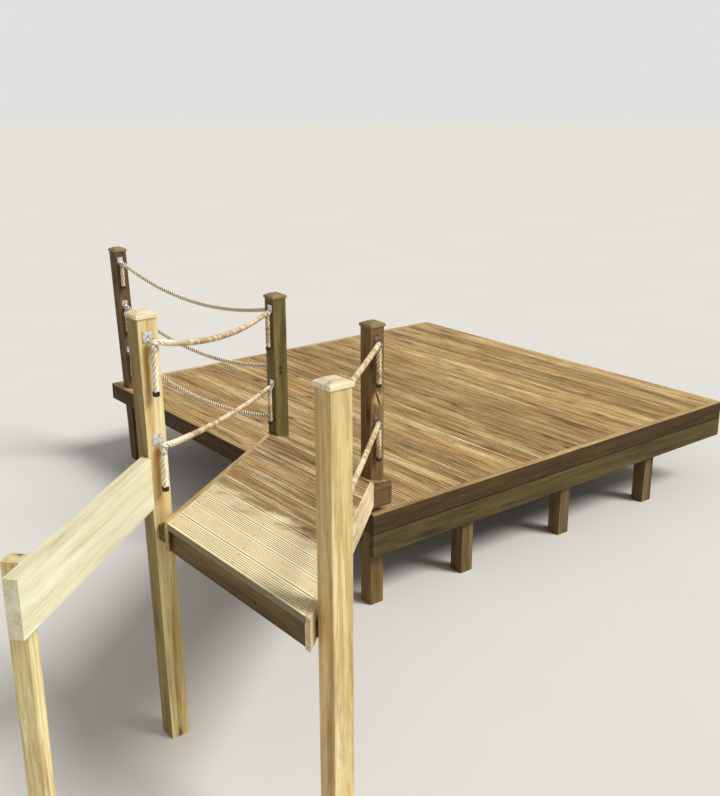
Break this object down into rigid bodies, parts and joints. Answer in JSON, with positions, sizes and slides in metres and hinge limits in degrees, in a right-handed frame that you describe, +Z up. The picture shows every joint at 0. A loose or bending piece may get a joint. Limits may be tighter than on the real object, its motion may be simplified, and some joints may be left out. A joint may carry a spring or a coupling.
{
  "type": "timber footbridge",
  "caption": "Raised square timber deck met at one corner by a sloping boarded footbridge, with square posts and sagging rope rails in zinc eyes.",
  "frame": {"origin": "centre of the bounding box in plan, on the level floor that the posts and legs stand on", "axes": "+X along the main deck's two edges that cross its boards, away from the ramp; +Y along the boards; +Z up"},
  "size_m": [6.1564, 5.1926, 2.189],
  "materials": {
    "deck_wood": "weathered, reeded",
    "rim_wood": "weathered",
    "frame_wood": "rough sawn",
    "ramp_wood": "weathered, reeded",
    "post_pine": "planed",
    "post_aged": "weathered",
    "cap_wood": "planed",
    "wing_wood": "planed",
    "zinc": "zinc plated",
    "rope": "three strand natural fibre"
  },
  "bodies": {
    "root": {"deck_boards_left": "deck_wood", "deck_boards_right": "deck_wood", "front_rim": "rim_wood", "front_lower_board": "frame_wood", "left_rim": "rim_wood", "back_rim": "rim_wood", "right_rim": "rim_wood", "deck_joists": "frame_wood", "deck_bearers": "frame_wood", "deck_legs": "frame_wood", "ramp_boards": "ramp_wood", "ramp_left_joist": "frame_wood", "ramp_middle_joist": "frame_wood", "ramp_right_joist": "frame_wood", "ramp_left_trim": "ramp_wood", "ramp_right_trim": "ramp_wood", "ramp_near_header": "frame_wood", "ramp_far_header": "frame_wood", "ramp_end_board": "rim_wood", "ramp_risers": "rim_wood", "near_left_post": "post_pine", "near_right_post": "post_pine", "far_left_post": "post_aged", "far_right_post": "post_aged", "back_post": "post_aged", "post_caps": "cap_wood", "near_left_eyes": "zinc", "near_right_eyes": "zinc", "far_left_eyes": "zinc", "far_right_eyes": "zinc", "back_eyes": "zinc", "left_rope_high": "rope", "left_rope_low": "rope", "right_rope_high": "rope", "right_rope_low": "rope", "back_rope_high": "rope", "back_rope_middle": "rope", "back_rope_low": "rope", "near_left_tails": "rope", "near_right_tails": "rope", "far_left_tails": "rope", "far_right_tails": "rope", "back_tails": "rope", "wing_board": "wing_wood", "wing_peg": "post_pine"}
  },
  "joints": []
}
